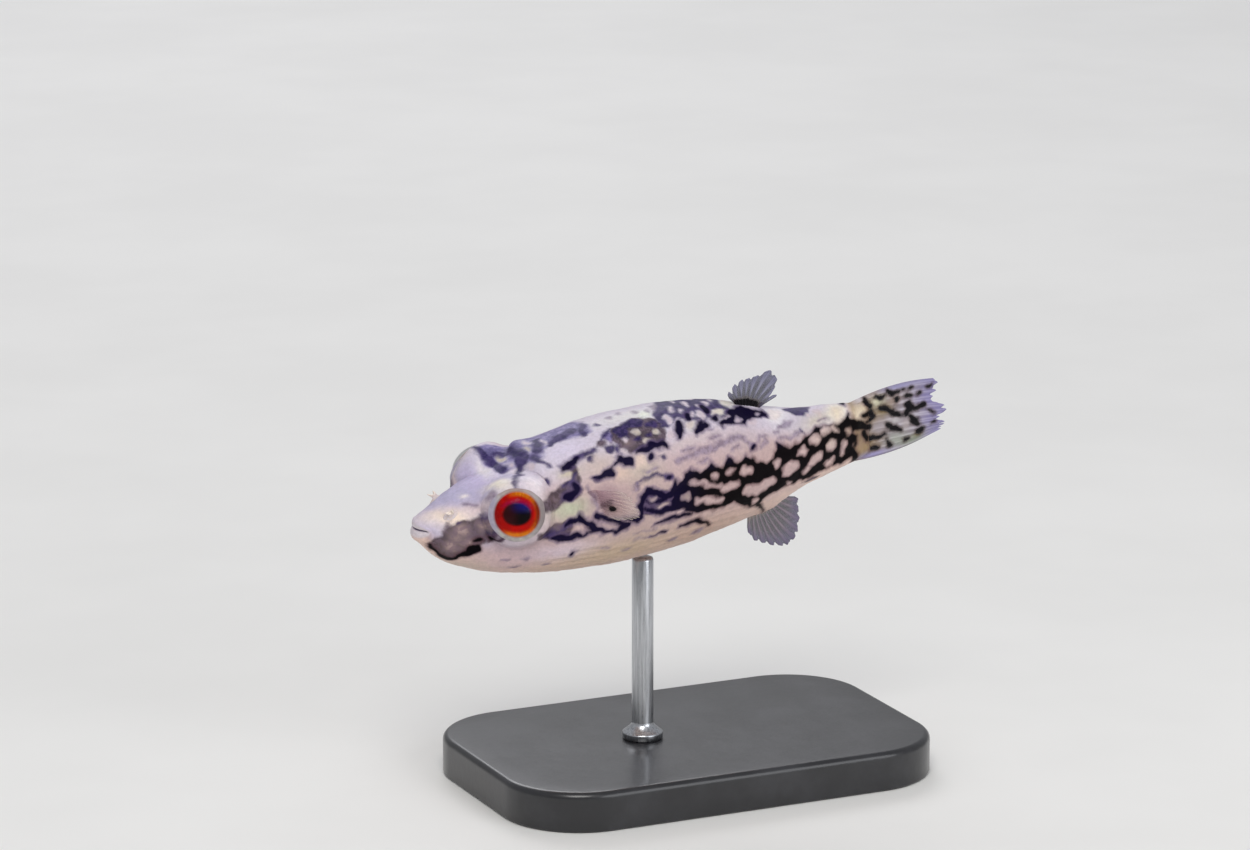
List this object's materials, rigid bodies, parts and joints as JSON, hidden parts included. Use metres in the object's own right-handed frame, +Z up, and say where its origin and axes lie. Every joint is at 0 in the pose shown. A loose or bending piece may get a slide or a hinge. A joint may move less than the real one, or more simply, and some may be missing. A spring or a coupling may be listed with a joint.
{
  "type": "freshwater pufferfish",
  "caption": "Still life-size display model of a small mottled freshwater pufferfish with red eyes and spread fins, held level-headed over a flat base by a short rod.",
  "frame": {"origin": "centre of the underside of the display base", "axes": "+Z up, +X from the fish's mouth towards its tail, -Y towards the fish's left side"},
  "size_m": [0.0436, 0.022, 0.0307],
  "materials": {
    "skin": "wet, smooth",
    "fin": "thin translucent film",
    "eye": "wet gloss",
    "base_enamel": "satin black",
    "rod_steel": "brushed"
  },
  "bodies": {
    "root": {"head": "skin", "trunk": "skin", "tail": "skin", "eye_left": "eye", "eye_right": "eye", "fin_dorsal": "fin", "fin_anal": "fin", "fin_caudal": "fin", "fin_pectoral_left": "fin", "fin_pectoral_right": "fin", "stand_base": "base_enamel", "stand_rod": "rod_steel"}
  },
  "joints": []
}
